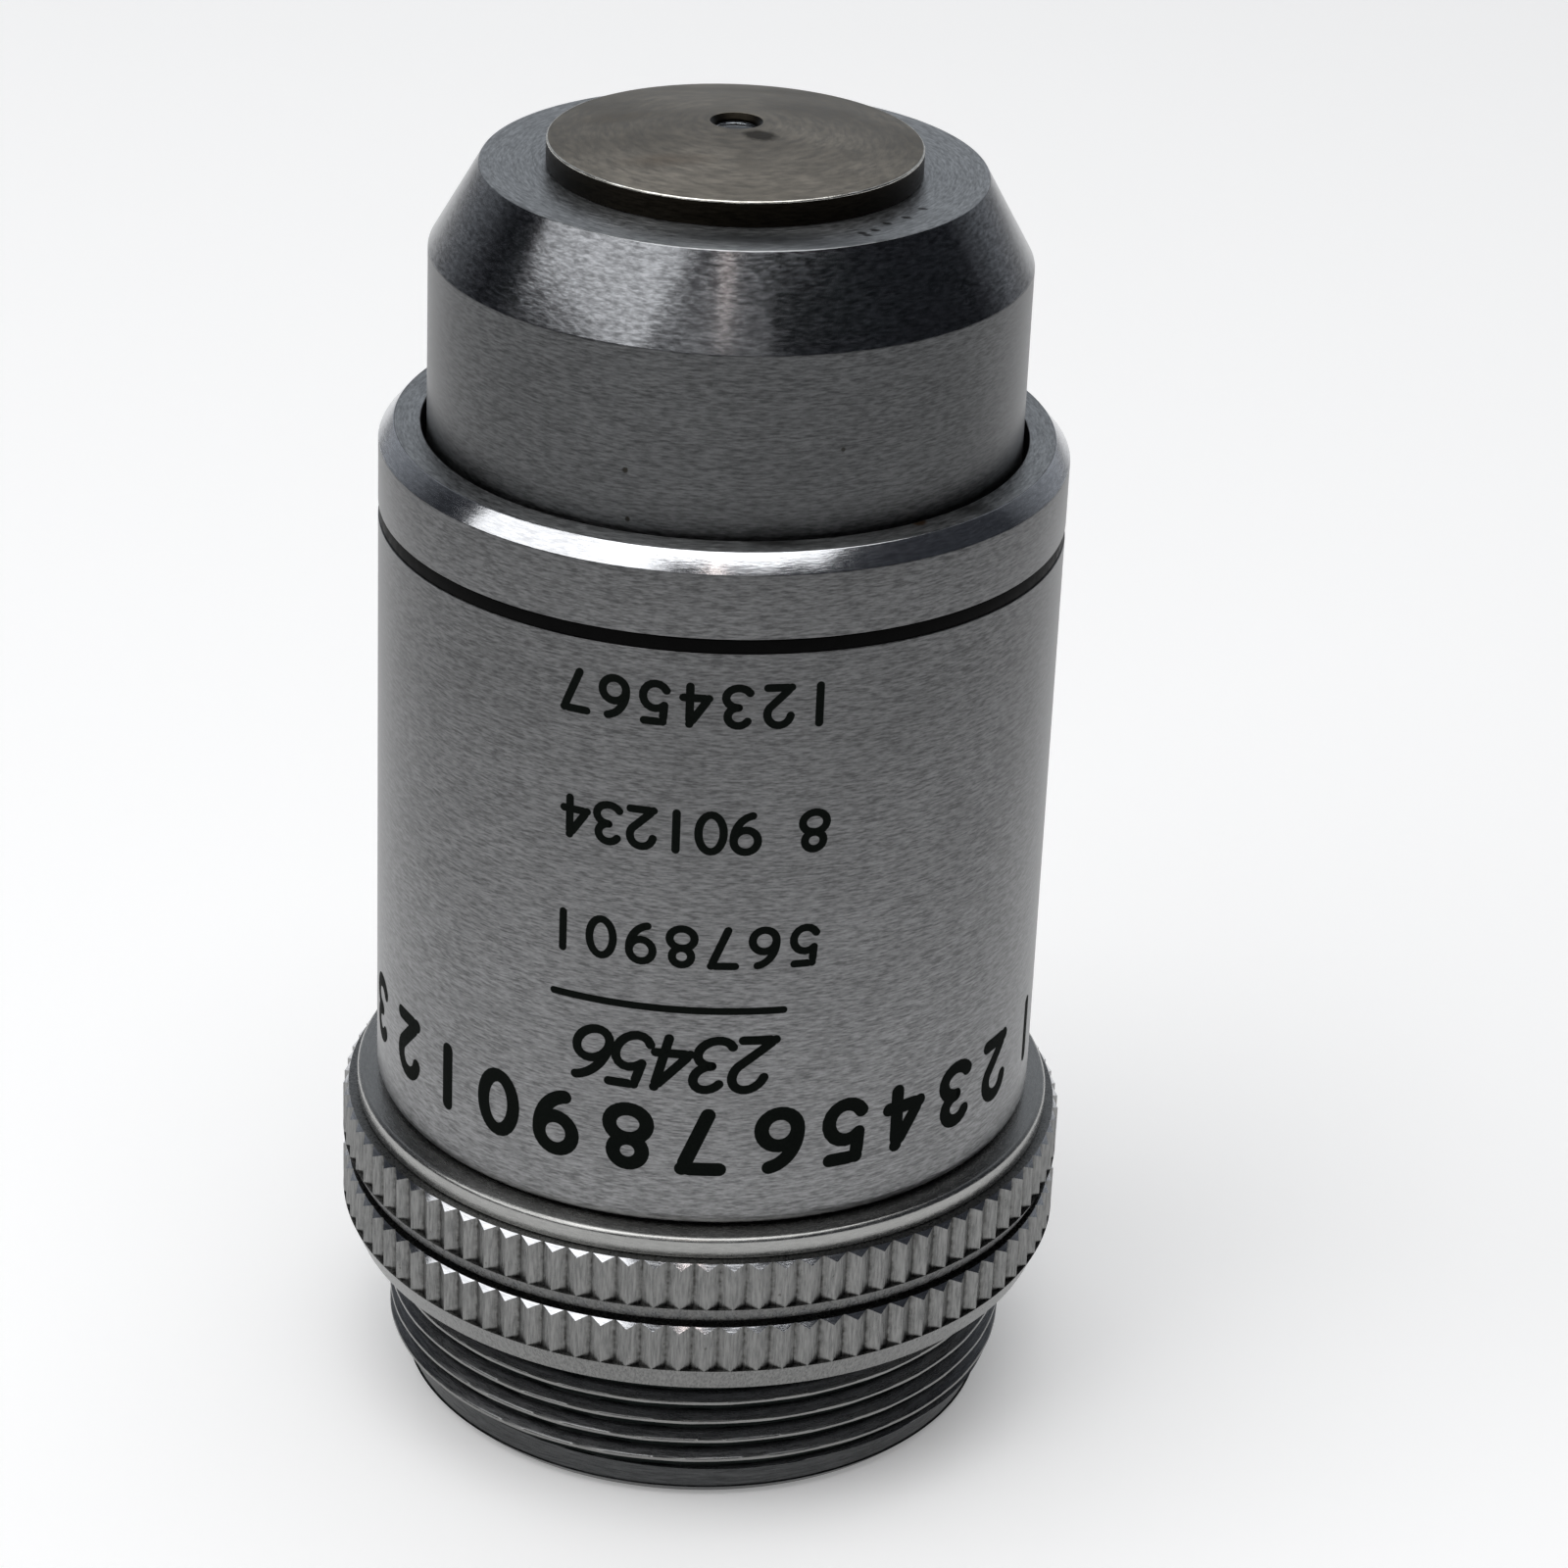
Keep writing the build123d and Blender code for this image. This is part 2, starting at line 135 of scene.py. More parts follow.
# Painted shade mixed with dirt in the knurl's grooves and on its ledge: its height above the ledge,
# its depth from the root, and the outer edge of the ledge that it leaves bare.
knurl_shade_and_dirt_height = 0.10
knurl_shade_and_dirt_depth = 0.3 * knurl_depth
knurl_unmarked_edge = 0.2 * knurl_depth
tooth_columns = (0.0, 0.07, 0.25, 0.43, 0.5, 0.57, 0.75, 0.93)
ring_bore_r = 8.92
ring_seam_r = 10.90
ring_foot_z = flange_top + 0.20
ring_foot_r = 11.40
ring_band_z = ring_foot_z + 0.52

# Collar
collar_foot_bevel = 0.05
collar_top_bevel = 0.10
collar_edge = 0.10
spigot_r = 9.83

# Barrel, with its enamel groove and the keyway of the guide pin
barrel_bore_r = 9.85
barrel_foot_z = collar_top + 0.06
barrel_foot_round = 0.40
barrel_foot_land_r = 10.05
barrel_rim_r = 10.105
barrel_rim_z = barrel_front - 0.54
barrel_edge = 0.03
lip_bore_r = 9.28
lip_foot_z = barrel_front - 1.60
land_margin = 0.001
groove_floor_r = 10.315
enamel_edge = 0.05
keyway_floor_r = 10.20
keyway_side_gap = 0.05
keyway_top = pin_corner.z + 0.30

# Nose and front disc
nose_r = 9.10
nose_cone_foot = 38.36
nose_face_r = 7.61
nose_bore_r = 6.97
nose_shoulder = 38.38
nose_edge = 0.04
shank_r = 4.90
shank_fit_r = 4.92
shank_bore_r = 3.90
disc_top = 41.76
disc_edge = 0.05
disc_rim_width = 0.07
disc_rim_drop = 0.04
tip_r = 0.80
window_r = 0.62
pocket_r = 1.01
pocket_centre = 41.413
pocket_grip = 0.25

# Spring
spring_wire_r = 0.45
spring_turns = 4.5
wire_sides = 14
steps_per_turn = 60

# Painted marks: rows of plain digits, read with the nose down, and a rule. A row has its text, the
# height of its foot, and the angles of its first and last edge, in degrees from -Y towards +X.
paint_lift = 0.004
small_height = 1.45
small_stroke = 0.25
small_rows = (
    ("1234567", 27.4, 20.0, -26.0),
    ("8 901234", 23.3, 19.6, -25.0),
    ("5678901", 19.5, 19.4, -27.3),
)
middle_height = 2.0
middle_stroke = 0.30
middle_slant = 0.25
middle_row = ("23456", 15.25, 11.5, -22.0)
large_height = 2.35
large_stroke = 0.46
large_z = 12.40
large_digits = "1234567890123"
large_angles = (75.6, 60.1, 48.2, 36.3, 24.8, 13.3, 0.2, -11.9, -24.6, -36.0, -48.0, -60.5, -75.0)
rule_z = 18.1
rule_angles = (13.0, -25.4)
rule_stroke = 0.24
glyph_width = 0.62
glyph_middle = glyph_width / 2
stroke_end_sides = 16
sharp_bend = 25


def radius_of(point):
    """Distance of a point from the axis."""
    return sqrt(point.x**2 + point.y**2)


def soften(outline, radius):
    """Rounds each corner of a closed (radius, height) outline, less where its sides are short."""
    rounded = []
    for index, corner in enumerate(outline):
        here = Vector(corner)
        back = Vector(outline[index - 1]) - here
        ahead = Vector(outline[(index + 1) % len(outline)]) - here
        reach = min(radius, 0.4 * back.length, 0.4 * ahead.length)
        start = here + back.normalized() * reach
        end = here + ahead.normalized() * reach
        for step in range(corner_steps + 1):
            t = step / corner_steps
            rounded.append(tuple(start * (1 - t) ** 2 + here * 2 * t * (1 - t) + end * t**2))
    return rounded


def piece(name, vertices, faces, body, material, *nodes, smooth=35):
    """Makes a mesh object from points in mm, rides it on a body and lets it stand for CAD nodes."""
    mesh = bpy.data.meshes.new(name)
    mesh.from_pydata([Vector(v) * MM for v in vertices], [], faces)
    mesh.shade_smooth()
    mesh.set_sharp_from_angle(angle=radians(smooth))
    obj = bpy.data.objects.new(name, mesh)
    scene.collection.objects.link(obj)
    mesh.materials.append(material)
    even = obj.modifiers.new("even shading", "WEIGHTED_NORMAL")
    even.keep_sharp = True
    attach(obj, body)
    if nodes:
        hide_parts(*nodes)
    return obj


def skin(columns):
    """Vertices and quads of a closed ring: each column is an angle and its closed outline."""
    vertices = []
    for angle, outline in columns:
        vertices += [(r * cos(angle), r * sin(angle), z) for r, z in outline]
    rows = len(columns[0][1])
    faces = []
    for i in range(len(columns)):
        j = (i + 1) % len(columns)
        for k in range(rows):
            m = (k + 1) % rows
            faces.append((i * rows + k, j * rows + k, j * rows + m, i * rows + m))
    return vertices, faces


def turned(outline):
    """A plain turned ring."""
    return skin([(2 * pi * i / columns_round, outline) for i in range(columns_round)])


def turned_piece(name, body, outline, edge, material, *nodes):
    """A turned piece with softened edges."""
    vertices, faces = turned(soften(outline, edge))
    return piece(name, vertices, faces, body, material, *nodes)


def finish_part(obj, material, is_there):
    """Gives another material to the faces whose middle (radius, height) in mm passes the test."""
    obj.data.materials.append(material)
    for face in obj.data.polygons:
        middle = face.center / MM
        if is_there(radius_of(middle), middle.z):
            face.material_index = len(obj.data.materials) - 1


def paint(obj, name, value_of):
    """Stores a number on each vertex, from its place in mm."""
    values = obj.data.attributes.new(name, "FLOAT", "POINT")
    for vertex, item in zip(obj.data.vertices, values.data):
        item.value = value_of(vertex.co / MM)


# Materials

class Tree:
    """Short forms for building nodes."""

    def __init__(self, node_tree):
        self.nodes = node_tree.nodes
        self.links = node_tree.links

    def feed(self, node, key, value):
        """Links a socket to an input, or sets its value."""
        socket = node.inputs[key]
        if isinstance(value, bpy.types.NodeSocket):
            self.links.new(value, socket)
        else:
            socket.default_value = value

    def add(self, kind, inputs, **settings):
        node = self.nodes.new(kind)
        for key, value in settings.items():
            setattr(node, key, value)
        for key, value in inputs.items():
            self.feed(node, key, value)
        return node

    def math(self, operation, a, b=0.0):
        return self.add("ShaderNodeMath", {0: a, 1: b}, operation=operation).outputs[0]

    def vector(self, operation, a, b):
        return self.add("ShaderNodeVectorMath", {0: a, 1: b}, operation=operation).outputs[0]

    def split(self, vector):
        return self.add("ShaderNodeSeparateXYZ", {0: vector}).outputs

    def between(self, value, low, high, start=0.0, end=1.0):
        """Maps low..high to start..end, clamped."""
        inputs = {"Value": value, "From Min": low, "From Max": high, "To Min": start, "To Max": end}
        return self.add("ShaderNodeMapRange", inputs).outputs["Result"]

    def mix(self, share, first, second):
        """Blends two colours, each a socket or three numbers."""
        node = self.add("ShaderNodeMix", {"Factor": share}, data_type="RGBA")
        for key, value in ((6, first), (7, second)):
            if isinstance(value, tuple):
                value = (*value, 1.0)
            self.feed(node, key, value)
        return node.outputs[2]


class Surface(Tree):
    """The nodes of one material."""

    def __init__(self, name):
        self.material = bpy.data.materials.new(name)
        self.material.use_nodes = True
        super().__init__(self.material.node_tree)
        self.shader = self.nodes["Principled BSDF"]
        point = self.add("ShaderNodeTexCoord", {}).outputs["Object"]
        self.place = self.vector("MULTIPLY", point, (1 / MM,) * 3)

    def set(self, **values):
        """Sets the shader's inputs, named with _ for a space."""
        for key, value in values.items():
            self.feed(self.shader, key.replace("_", " "), value)

    def noise(self, vector, scale):
        inputs = {"Vector": vector, "Scale": scale, "Detail": 3.0, "Roughness": 0.6}
        return self.add("ShaderNodeTexNoise", inputs).outputs["Fac"]

    def grain(self, along, across):
        """Noise drawn out around the axis, on walls, cones and flat faces alike."""
        x, y = self.split(self.place)[:2]
        squares = self.math("ADD", self.math("POWER", x, 2.0), self.math("POWER", y, 2.0))
        inputs = {
            "Vector": self.vector("MULTIPLY", self.place, (along, along, across)),
            "W": self.math("MULTIPLY", self.math("SQRT", squares), across),
            "Scale": 1.0,
            "Detail": 3.0,
            "Roughness": 0.6,
        }
        return self.add("ShaderNodeTexNoise", inputs, noise_dimensions="4D").outputs["Fac"]

    def spot(self, centre, size, soft, ragged=0.5):
        """1 inside a small ragged patch of the given half sizes, 0 outside."""
        offset = self.vector("SUBTRACT", self.place, centre)
        scaled = self.vector("DIVIDE", offset, size)
        far = self.add("ShaderNodeVectorMath", {0: scaled}, operation="LENGTH").outputs["Value"]
        edge = self.math("MULTIPLY", self.noise(self.place, 3.0 / max(size)), ragged)
        return self.between(self.math("ADD", far, edge), 1 + soft, 1 - soft)

    def attribute(self, name):
        return self.add("ShaderNodeAttribute", {}, attribute_name=name).outputs["Fac"]

    def finish(self, color, roughness, height=None, relief=0.01):
        """Links colour and roughness, and turns the height, in mm of relief, into a bump."""
        self.set(Base_Color=color, Roughness=roughness)
        if height is not None:
            inputs = {"Height": height, "Strength": 1.0, "Distance": relief * MM}
            self.set(Normal=self.add("ShaderNodeBump", inputs).outputs["Normal"])
        return self.material


def shaded(color, factor):
    """A colour made lighter or darker."""
    return tuple(channel * factor for channel in color)


def turned_metal(
    name,
    color,
    roughness,
    grain=0.4,
    mottle=0.15,
    anisotropy=0.5,
    grain_scale=(3.0, 17.0),
    height_shade=None,
    marks=(),
):
    """Lathe-turned metal with a fine grain around the axis.

    The painted shade darkens it from one height to another by a share. Each mark is a patch of
    dirt, wear or painted reflection: its centre, half sizes, colour, strength and softness.
    """
    tree = Surface(name)
    tangent = tree.add("ShaderNodeTangent", {}, direction_type="RADIAL", axis="Z").outputs[0]
    tree.set(Metallic=1.0, Anisotropic=anisotropy, Anisotropic_Rotation=0.25, Tangent=tangent)
    fine = tree.grain(*grain_scale)
    broad = tree.noise(tree.place, 0.35)
    fine_share = tree.between(fine, 0.35, 0.65)
    tone = tree.mix(fine_share, shaded(color, 1 - grain), shaded(color, 1 + grain))
    tone = tree.mix(tree.between(broad, 0.35, 0.65, 0.0, mottle), tone, shaded(color, 0.55))
    # Painted shade: the colour darkens towards the top.
    if height_shade:
        foot_z, top_z, share = height_shade
        height = tree.split(tree.place)[2]
        tone = tree.mix(tree.between(height, foot_z, top_z, 0.0, share), tone, (0.0, 0.0, 0.0))
    for centre, size, mark_color, strength, soft in marks:
        patch = tree.math("MULTIPLY", tree.spot(centre, size, soft), strength)
        tone = tree.mix(patch, tone, mark_color)
    rough = tree.between(fine, 0.25, 0.75, roughness * 0.8, roughness * 1.2)
    return tree.finish(tone, rough, fine, 0.004)


def knurl_metal():
    """Satin chrome with streaks down the teeth, and dark dirt mixed with painted shade in the
    grooves.
    """
    tree = Surface("knurled_chrome")
    tree.set(Metallic=1.0)
    streaks = tree.noise(tree.vector("MULTIPLY", tree.place, (1.0, 1.0, 0.12)), 14.0)
    cloud = tree.noise(tree.place, 5.0)
    tone = tree.mix(tree.between(streaks, 0.35, 0.65), (0.145, 0.147, 0.145), (0.25, 0.25, 0.245))
    clumps = tree.between(cloud, 0.3, 0.6, 1.0, 0.35)
    # Painted shade mixed with dirt: darkens the grooves and the ledge, in clumps.
    shade_and_dirt = tree.math("MULTIPLY", tree.attribute("groove"), clumps)
    shaded_and_dirty = tree.mix(shade_and_dirt, tone, (0.02, 0.019, 0.016))
    specks = tree.between(cloud, 0.69, 0.74, 0.0, 0.6)
    color = tree.mix(specks, shaded_and_dirty, (0.045, 0.042, 0.034))
    return tree.finish(color, tree.between(streaks, 0.3, 0.7, 0.24, 0.36), streaks, 0.008)


def thread_metal():
    """Dark gunmetal, with painted shade that turns it black at the root of the thread and a painted
    highlight on its crests.
    """
    tree = Surface("gunmetal")
    tree.set(Metallic=1.0)
    fine = tree.grain(1.4, 15.0)
    rise = tree.attribute("rise")
    tone = tree.mix(tree.between(fine, 0.3, 0.7), (0.09, 0.092, 0.095), (0.20, 0.203, 0.208))
    # Painted shade: the flanks darken to near black at the root of the thread.
    flank = tree.mix(tree.between(rise, 0.0, 0.45), (0.008, 0.010, 0.0095), tone)
    # Painted highlight: the crests are made lighter.
    color = tree.mix(tree.between(rise, 0.90, 0.995), flank, (0.24, 0.24, 0.235))
    return tree.finish(color, tree.between(fine, 0.3, 0.7, 0.22, 0.34), fine, 0.004)


def dull_paint(name, scale, dark, light, least_rough, most_rough):
    """Black paint with a slight dimple."""
    tree = Surface(name)
    tree.set(Specular_IOR_Level=0.02)
    soft = tree.noise(tree.place, scale)
    rough = tree.between(soft, 0.3, 0.7, least_rough, most_rough)
    return tree.finish(tree.mix(soft, dark, light), rough, soft, 0.004)


def glass():
    """Polished glass, very slightly coated."""
    tree = Surface("optical_glass")
    tree.set(Transmission_Weight=1.0, IOR=1.52)
    soft = tree.noise(tree.place, 6.0)
    color = tree.mix(soft, (0.80, 0.86, 0.92), (0.88, 0.92, 0.96))
    return tree.finish(color, tree.between(soft, 0.3, 0.7, 0.02, 0.05))


grime = (0.02, 0.018, 0.014)
pit_places = (
    (3.72, -5.69), (4.09, -5.39), (4.44, -4.75), (5.02, -4.16), (5.52, -3.31), (3.86, -5.85)
)
nose_pits = [((x, y, nose_face), (0.19, 0.13, 0.3), grime, 0.95, 0.2) for x, y in pit_places]
nose_grease = [((0.6, -6.55, nose_face), (4.2, 0.9, 0.9), (0.09, 0.095, 0.10), 0.9, 0.6)]
nose_pinholes = [
    ((-2.83, -8.65, 34.6), (0.12, 0.12, 0.12), grime, 0.9, 0.2),
    ((-2.72, -8.68, 33.1), (0.10, 0.10, 0.10), grime, 0.9, 0.2),
    ((3.4, -8.44, 35.4), (0.09, 0.09, 0.09), grime, 0.8, 0.2),
]
barrel_dirt = [
    ((5.72, -7.32, barrel_front), (0.30, 0.35, 0.4), (0.16, 0.08, 0.025), 0.9, 0.2),
    ((7.4, -6.2, barrel_front), (0.6, 0.5, 0.4), grime, 0.6, 0.5),
    ((1.6, -9.3, barrel_front), (0.9, 0.3, 0.4), grime, 0.8, 0.5),
]
# Smudges on the front disc, and one painted reflection.
disc_smudges_and_reflection = [
    ((0.72, -1.15, 42.3), (0.66, 0.46, 0.6), (0.03, 0.026, 0.02), 0.9, 0.2),
    ((-3.6, 1.0, 42.0), (1.6, 0.6, 0.6), (0.16, 0.14, 0.11), 0.5, 0.5),
    ((-2.0, -2.9, 42.0), (1.4, 0.5, 0.6), (0.17, 0.14, 0.11), 0.6, 0.5),
    ((0.2, 4.6, 41.9), (2.6, 0.5, 0.6), (0.14, 0.13, 0.11), 0.5, 0.5),
    # A painted reflection: the dark streak below the window, as a turned face mirrors it.
    ((0.3, -2.6, 42.0), (0.3, 1.1, 0.6), (0.15, 0.14, 0.12), 0.5, 0.5),
]

# The barrel's satin chrome gets painted shade: it darkens towards its top, where it mirrors darker
# surroundings.
satin = turned_metal(
    "satin_chrome", (0.23, 0.232, 0.235), 0.38, grain=0.45, height_shade=(11.0, 28.0, 0.42)
)
collar_satin = turned_metal("collar_chrome", (0.36, 0.36, 0.35), 0.26, grain=0.12)
# The nose's side gets painted shade: its chrome is made much darker than the barrel's, where it
# mirrors darker surroundings.
nose_shaded_satin = turned_metal(
    "nose_chrome_shaded", (0.098, 0.10, 0.102), 0.38, grain=0.45, marks=nose_pinholes
)
nose_top = turned_metal(
    "nose_face_chrome", (0.42, 0.43, 0.435), 0.34, marks=nose_pits + nose_grease
)
front_land = turned_metal("front_land_chrome", (0.40, 0.41, 0.415), 0.36, marks=barrel_dirt)
polished = turned_metal(
    "polished_chrome", (0.215, 0.22, 0.23), 0.20, grain=0.5, mottle=0.4, grain_scale=(3.5, 11.0)
)
polished_edge = turned_metal("polished_edge", (0.55, 0.56, 0.58), 0.16, grain=0.2)
nickel = turned_metal(
    "tarnished_nickel",
    (0.27, 0.25, 0.215),
    0.50,
    grain=0.2,
    mottle=0.7,
    anisotropy=0.0,
    grain_scale=(2.0, 7.0),
    marks=disc_smudges_and_reflection,
)
# A painted highlight: the thin rim of the disc is made much lighter than the disc, where it catches
# the light.
disc_rim = turned_metal("nickel_painted_highlight", (0.80, 0.78, 0.72), 0.25, anisotropy=0.0)
disc_side = turned_metal("greasy_nickel", (0.014, 0.012, 0.009), 0.5)
tube_metal = turned_metal("tube_brass_blackened", (0.05, 0.045, 0.04), 0.40)
brass = turned_metal("bare_brass", (0.62, 0.46, 0.20), 0.30)
black_brass = turned_metal("blackened_brass", (0.022, 0.021, 0.020), 0.55)
steel = turned_metal("spring_steel", (0.42, 0.43, 0.45), 0.28)
knurled = knurl_metal()
gunmetal = thread_metal()
enamel_black = dull_paint("black_enamel", 3.0, (0.0015,) * 3, (0.005,) * 3, 0.35, 0.5)
paint_black = dull_paint(
    "engraving_paint", 9.0, (0.002, 0.003, 0.0025), (0.008, 0.010, 0.0085), 0.55, 0.75
)
clear_glass = glass()

slot_of = {part["node"]: part["material_slot"] for part in frame["record"]["subparts"]}
inner_finish = {
    "tube_metal": tube_metal,
    "bare_brass": brass,
    "blackened_brass": black_brass,
    "spring_steel": steel,
    "optical_glass": clear_glass,
}
for node_name, node in frame["nodes"].items():
    node.data.materials.clear()
    node.data.materials.append(inner_finish.get(slot_of[node_name], satin))


# Knurled pieces

def knurl_columns():
    """Angle and radius of each column of a knurl with straight flanks."""
    half_step = pi / knurl_teeth
    root_r = knurl_r - knurl_depth
    columns = []
    for tooth in range(knurl_teeth):
        for share in tooth_columns:
            turn = min(share, 1 - share) * 2 * half_step
            flank = knurl_r * root_r * sin(half_step)
            radius = flank / (knurl_r * sin(turn) + root_r * sin(half_step - turn))
            columns.append((2 * half_step * (tooth + share), radius))
    return columns


def knurled_piece(name, foot_r, foot_z, band_z, top_z, rest, node):
    """A ring whose rim is knurled: a plain cone, the teeth on a ledge, a chamfered top edge."""
    root_r = knurl_r - knurl_depth
    rim_foot = top_z - knurl_rim_drop
    columns = []
    for angle, radius in knurl_columns():
        cut = knurl_rim_drop * (knurl_r - radius) / (knurl_r - knurl_rim_r)
        rim = [
            (foot_r, foot_z),
            (knurl_r, band_z - weld_gap),
            (radius, band_z),
            (radius, band_z + knurl_shade_and_dirt_height),
            (radius, min(rim_foot + cut, top_z - weld_gap)),
            (min(radius, knurl_rim_r), top_z),
        ]
        columns.append((angle, rim + rest))
    obj = piece(name, *skin(columns), "barrel", knurled, node, smooth=12)

    def groove_of(point):
        """How much dirt and painted shade the knurl gets: 1 at the root and on the ledge, 0 on the
        crests and elsewhere.
        """
        radius = radius_of(point)
        is_on_band = band_z - weld_gap / 2 <= point.z <= top_z - weld_gap / 2
        if radius < root_r - weld_gap or not is_on_band:
            return 0.0
        if point.z < band_z + weld_gap:
            return 1.0 if radius < knurl_r - knurl_unmarked_edge else 0.0
        return max(0.0, 1 - (radius - root_r) / knurl_shade_and_dirt_depth)

    def is_rim(r, z):
        return rim_foot < z < top_z - test_margin / 2 and root_r < r < knurl_r - test_margin

    paint(obj, "groove", groove_of)
    finish_part(obj, polished_edge, is_rim)


def mount_flange():
    """The knurled flange of the thread mount, with the boss that carries the rest."""
    rest = [
        (boss_r, flange_top),
        (boss_r, boss_top),
        (boss_bore_r, boss_top),
        (boss_bore_r, stop_top),
        (stop_bore_r, stop_top),
        (stop_bore_r, rear_bore_top),
        (rear_bore_r, rear_bore_top),
        (rear_bore_r, shoulder_z),
    ]
    heights = (shoulder_z, flange_band_z, flange_top)
    knurled_piece("mount_flange", flange_foot_r, *heights, rest, "thread_mount")


def knurled_band():
    """The upper knurled ring, with the dark seam below it."""
    rest = [
        (ring_bore_r, ring_top),
        (ring_bore_r, flange_top),
        (ring_seam_r, flange_top),
        (ring_seam_r, ring_foot_z),
    ]
    heights = (ring_foot_z, ring_band_z, ring_top)
    knurled_piece("knurled_band", ring_foot_r, *heights, rest, "knurled_ring")


# Thread

def thread_radius(angle, z):
    """Outside of the thread at an angle and a height, faded in over its lead chamfer."""
    turn = (z - thread_first_crest) / thread_pitch - angle / (2 * pi) - quarter_turn
    off_crest = abs(turn - round(turn)) * thread_pitch
    flank_width = (thread_pitch - thread_crest - thread_root) / 2
    slope = (off_crest - thread_crest / 2) / flank_width
    cut = thread_depth * min(max(slope, 0.0), 1.0)
    lead = thread_r - thread_lead + (z - thread_foot)
    return max(min(thread_r - cut, lead), thread_r - thread_depth)


def mount_thread():
    """The threaded part of the mount with its plain pilot, bore and relief."""
    rows = round((thread_top - thread_foot) / thread_row)
    foot = [(rear_bore_r, 0.0), (pilot_r - pilot_chamfer, 0.0), (pilot_r, pilot_chamfer)]
    below = soften(foot, pilot_edge)[corner_steps + 1:]
    columns = []
    for i in range(columns_round):
        angle = 2 * pi * i / columns_round
        outline = [(rear_bore_r, rear_bore_edge), (rear_bore_r + rear_bore_edge, 0.0), *below]
        outline.append((pilot_r, thread_foot))
        for row in range(rows + 1):
            z = thread_foot + (thread_top - thread_foot) * row / rows
            outline.append((thread_radius(angle, z), z))
        outline += [(relief_r, thread_top), (relief_r, shoulder_z), (rear_bore_r, shoulder_z)]
        columns.append((angle, outline))
    obj = piece("mount_thread", *skin(columns), "barrel", gunmetal, "thread_mount", smooth=50)

    def rise_of(point):
        """0 at the root of the thread, 1 on its crests."""
        if not thread_foot < point.z < thread_top:
            # The pilot gets the painted shade of a point low on a flank.
            return pilot_shade
        return max(0.0, 1 - (thread_r - radius_of(point)) / thread_depth)

    paint(obj, "rise", rise_of)


# Collar, barrel and enamel

def lip_collar():
    """The plain lip between the knurl and the barrel, with its spigot."""
    outline = [
        (ring_bore_r, collar_foot),
        (collar_r - collar_foot_bevel, collar_foot),
        (collar_r, collar_foot + collar_foot_bevel),
        (collar_r, collar_top - collar_top_bevel),
        (collar_r - collar_top_bevel, collar_top),
        (spigot_r, collar_top),
        (spigot_r, spigot_top),
        (ring_bore_r, spigot_top),
    ]
    turned_piece("lip_collar", "barrel", outline, collar_edge, collar_satin, "seat_collar")


def barrel_outline():
    """Rounded foot, groove, chamfered front and the lip that stops the nose."""
    foot = []
    for step in range(arc_steps + 1):
        turn = pi / 2 * step / arc_steps
        out = barrel_r - barrel_foot_round * (1 - sin(turn))
        foot.append((out, barrel_foot_z + barrel_foot_round * (1 - cos(turn))))
    rest = [
        (barrel_r, barrel_foot_z + barrel_foot_round),
        (barrel_r, groove_foot),
        (groove_floor_r, groove_foot),
        (groove_floor_r, groove_top),
        (barrel_r, groove_top),
        (barrel_r, barrel_rim_z),
        (barrel_rim_r, barrel_front),
        (lip_bore_r, barrel_front),
        (lip_bore_r, lip_foot_z),
        (barrel_bore_r, lip_foot_z),
        (barrel_bore_r, keyway_top + weld_gap),
        (barrel_bore_r, keyway_top),
        (barrel_bore_r, collar_top),
        (barrel_foot_land_r, collar_top),
        (barrel_foot_land_r, barrel_foot_z),
    ]
    return foot + soften(rest, barrel_edge)[corner_steps + 1:]


def keyed_columns(outline):
    """Columns of the barrel, with the keyway cut into its bore on the +Y side.

    The keyway runs out at the foot, at the height where the rounding reaches its floor.
    """
    run_out = asin(1 - (barrel_r - keyway_floor_r) / barrel_foot_round)
    lowest = barrel_foot_z + barrel_foot_round * (1 - cos(run_out))
    cut = []
    for r, z in outline:
        is_cut = r < keyway_floor_r and z < keyway_top + weld_gap / 2
        cut.append((keyway_floor_r, max(z, lowest)) if is_cut else (r, z))
    half = asin((pin_corner.x + keyway_side_gap) / keyway_floor_r)
    edge = half + weld_gap / keyway_floor_r
    columns = [(pi / 2 + turn, cut) for turn in (-half, 0, half)]
    columns += [(pi / 2 + turn, outline) for turn in (-edge, edge)]
    for i in range(columns_round):
        angle = 2 * pi * i / columns_round
        if abs(angle - pi / 2) > edge:
            columns.append((angle, outline))
    return sorted(columns, key=lambda column: column[0])


def merge_doubles(obj):
    """Removes the empty faces left where points of an outline fall together."""
    mesh = bmesh.new()
    mesh.from_mesh(obj.data)
    bmesh.ops.remove_doubles(mesh, verts=mesh.verts, dist=0.05 * weld_gap * MM)
    mesh.to_mesh(obj.data)
    mesh.free()


def barrel_shell():
    """The barrel with a polished front chamfer and a worn front land."""
    columns = keyed_columns(barrel_outline())
    obj = piece("barrel_shell", *skin(columns), "barrel", satin, "outer_barrel")
    merge_doubles(obj)

    def is_chamfer(r, z):
        return r > barrel_rim_r - test_margin and barrel_rim_z < z < barrel_front - land_margin

    finish_part(obj, polished_edge, is_chamfer)
    finish_part(obj, front_land, lambda r, z: z > barrel_front - land_margin)


def enamel_band():
    """The black enamel in the groove of the barrel."""
    outline = [
        (groove_floor_r, groove_foot),
        (enamel_r, groove_foot),
        (enamel_r, groove_top),
        (groove_floor_r, groove_top),
    ]
    turned_piece("enamel_band", "barrel", outline, enamel_edge, enamel_black, "immersion_ring")


# Nose and front disc

